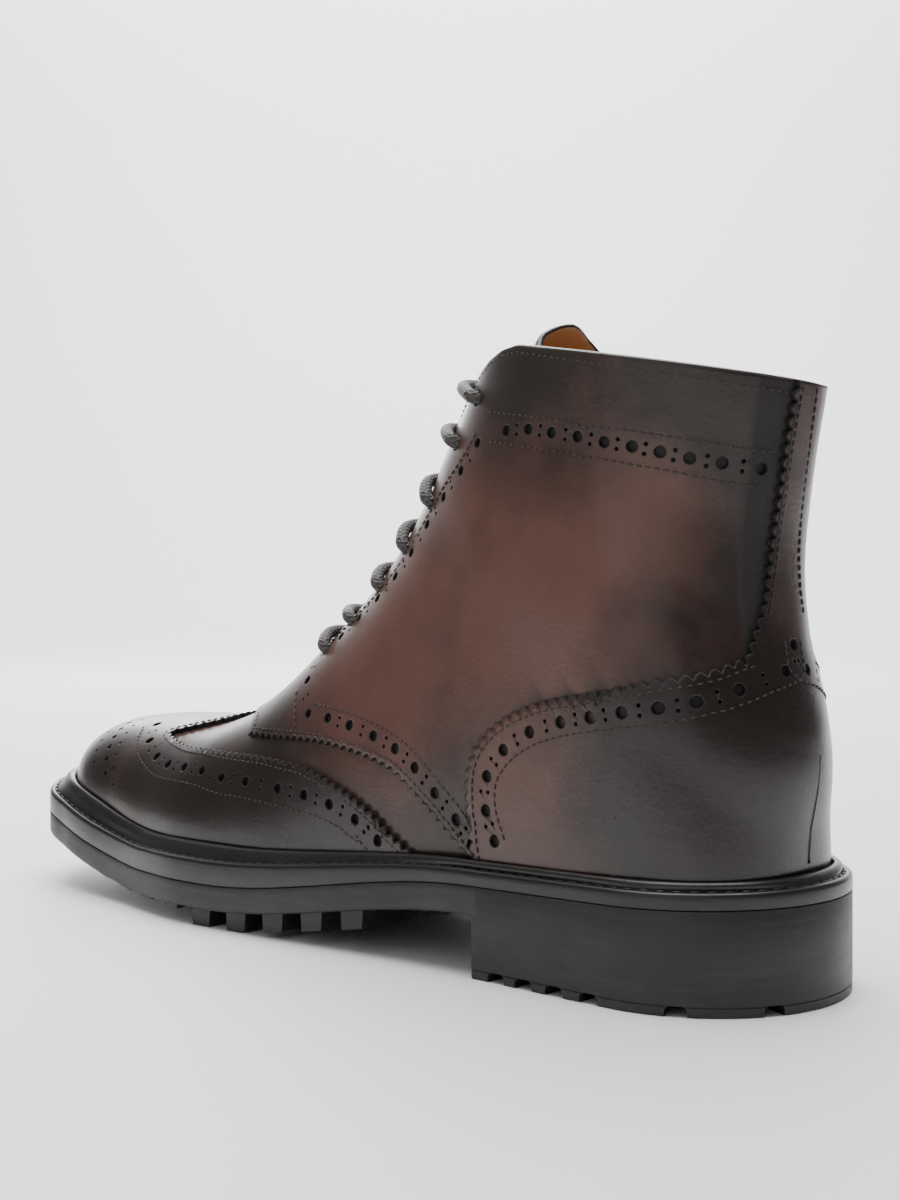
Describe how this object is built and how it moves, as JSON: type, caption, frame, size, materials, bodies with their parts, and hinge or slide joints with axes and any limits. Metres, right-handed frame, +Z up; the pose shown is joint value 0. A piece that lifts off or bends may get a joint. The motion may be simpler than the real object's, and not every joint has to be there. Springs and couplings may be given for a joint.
{
  "type": "ankle boot",
  "caption": "Leather lace-up ankle boot with a wing cap, punched overlays, a tongue under the throat, and a thick lugged rubber sole with a block heel.",
  "frame": {"origin": "on the floor, under the middle of the boot's box", "axes": "+Y from toe to heel, +X to the outer side of the foot, +Z up"},
  "size_m": [0.1042, 0.315, 0.1795],
  "materials": {
    "sole_rubber": "matte",
    "welt_rubber": "satin",
    "brown_leather": "burnished semi-gloss",
    "dark_leather": "burnished gloss",
    "lining": "matte",
    "lace": "matte braided"
  },
  "bodies": {
    "root": {"outsole": "sole_rubber", "welt": "welt_rubber", "insole": "lining", "upper": "brown_leather", "wing_cap": "dark_leather", "counter": "dark_leather", "backstay": "dark_leather", "tongue": "brown_leather", "lace_bar_1": "lace", "lace_bar_2": "lace", "lace_bar_3": "lace", "lace_bar_4": "lace", "lace_bar_5": "lace", "lace_bar_6": "lace", "lace_bar_7": "lace"}
  },
  "joints": []
}
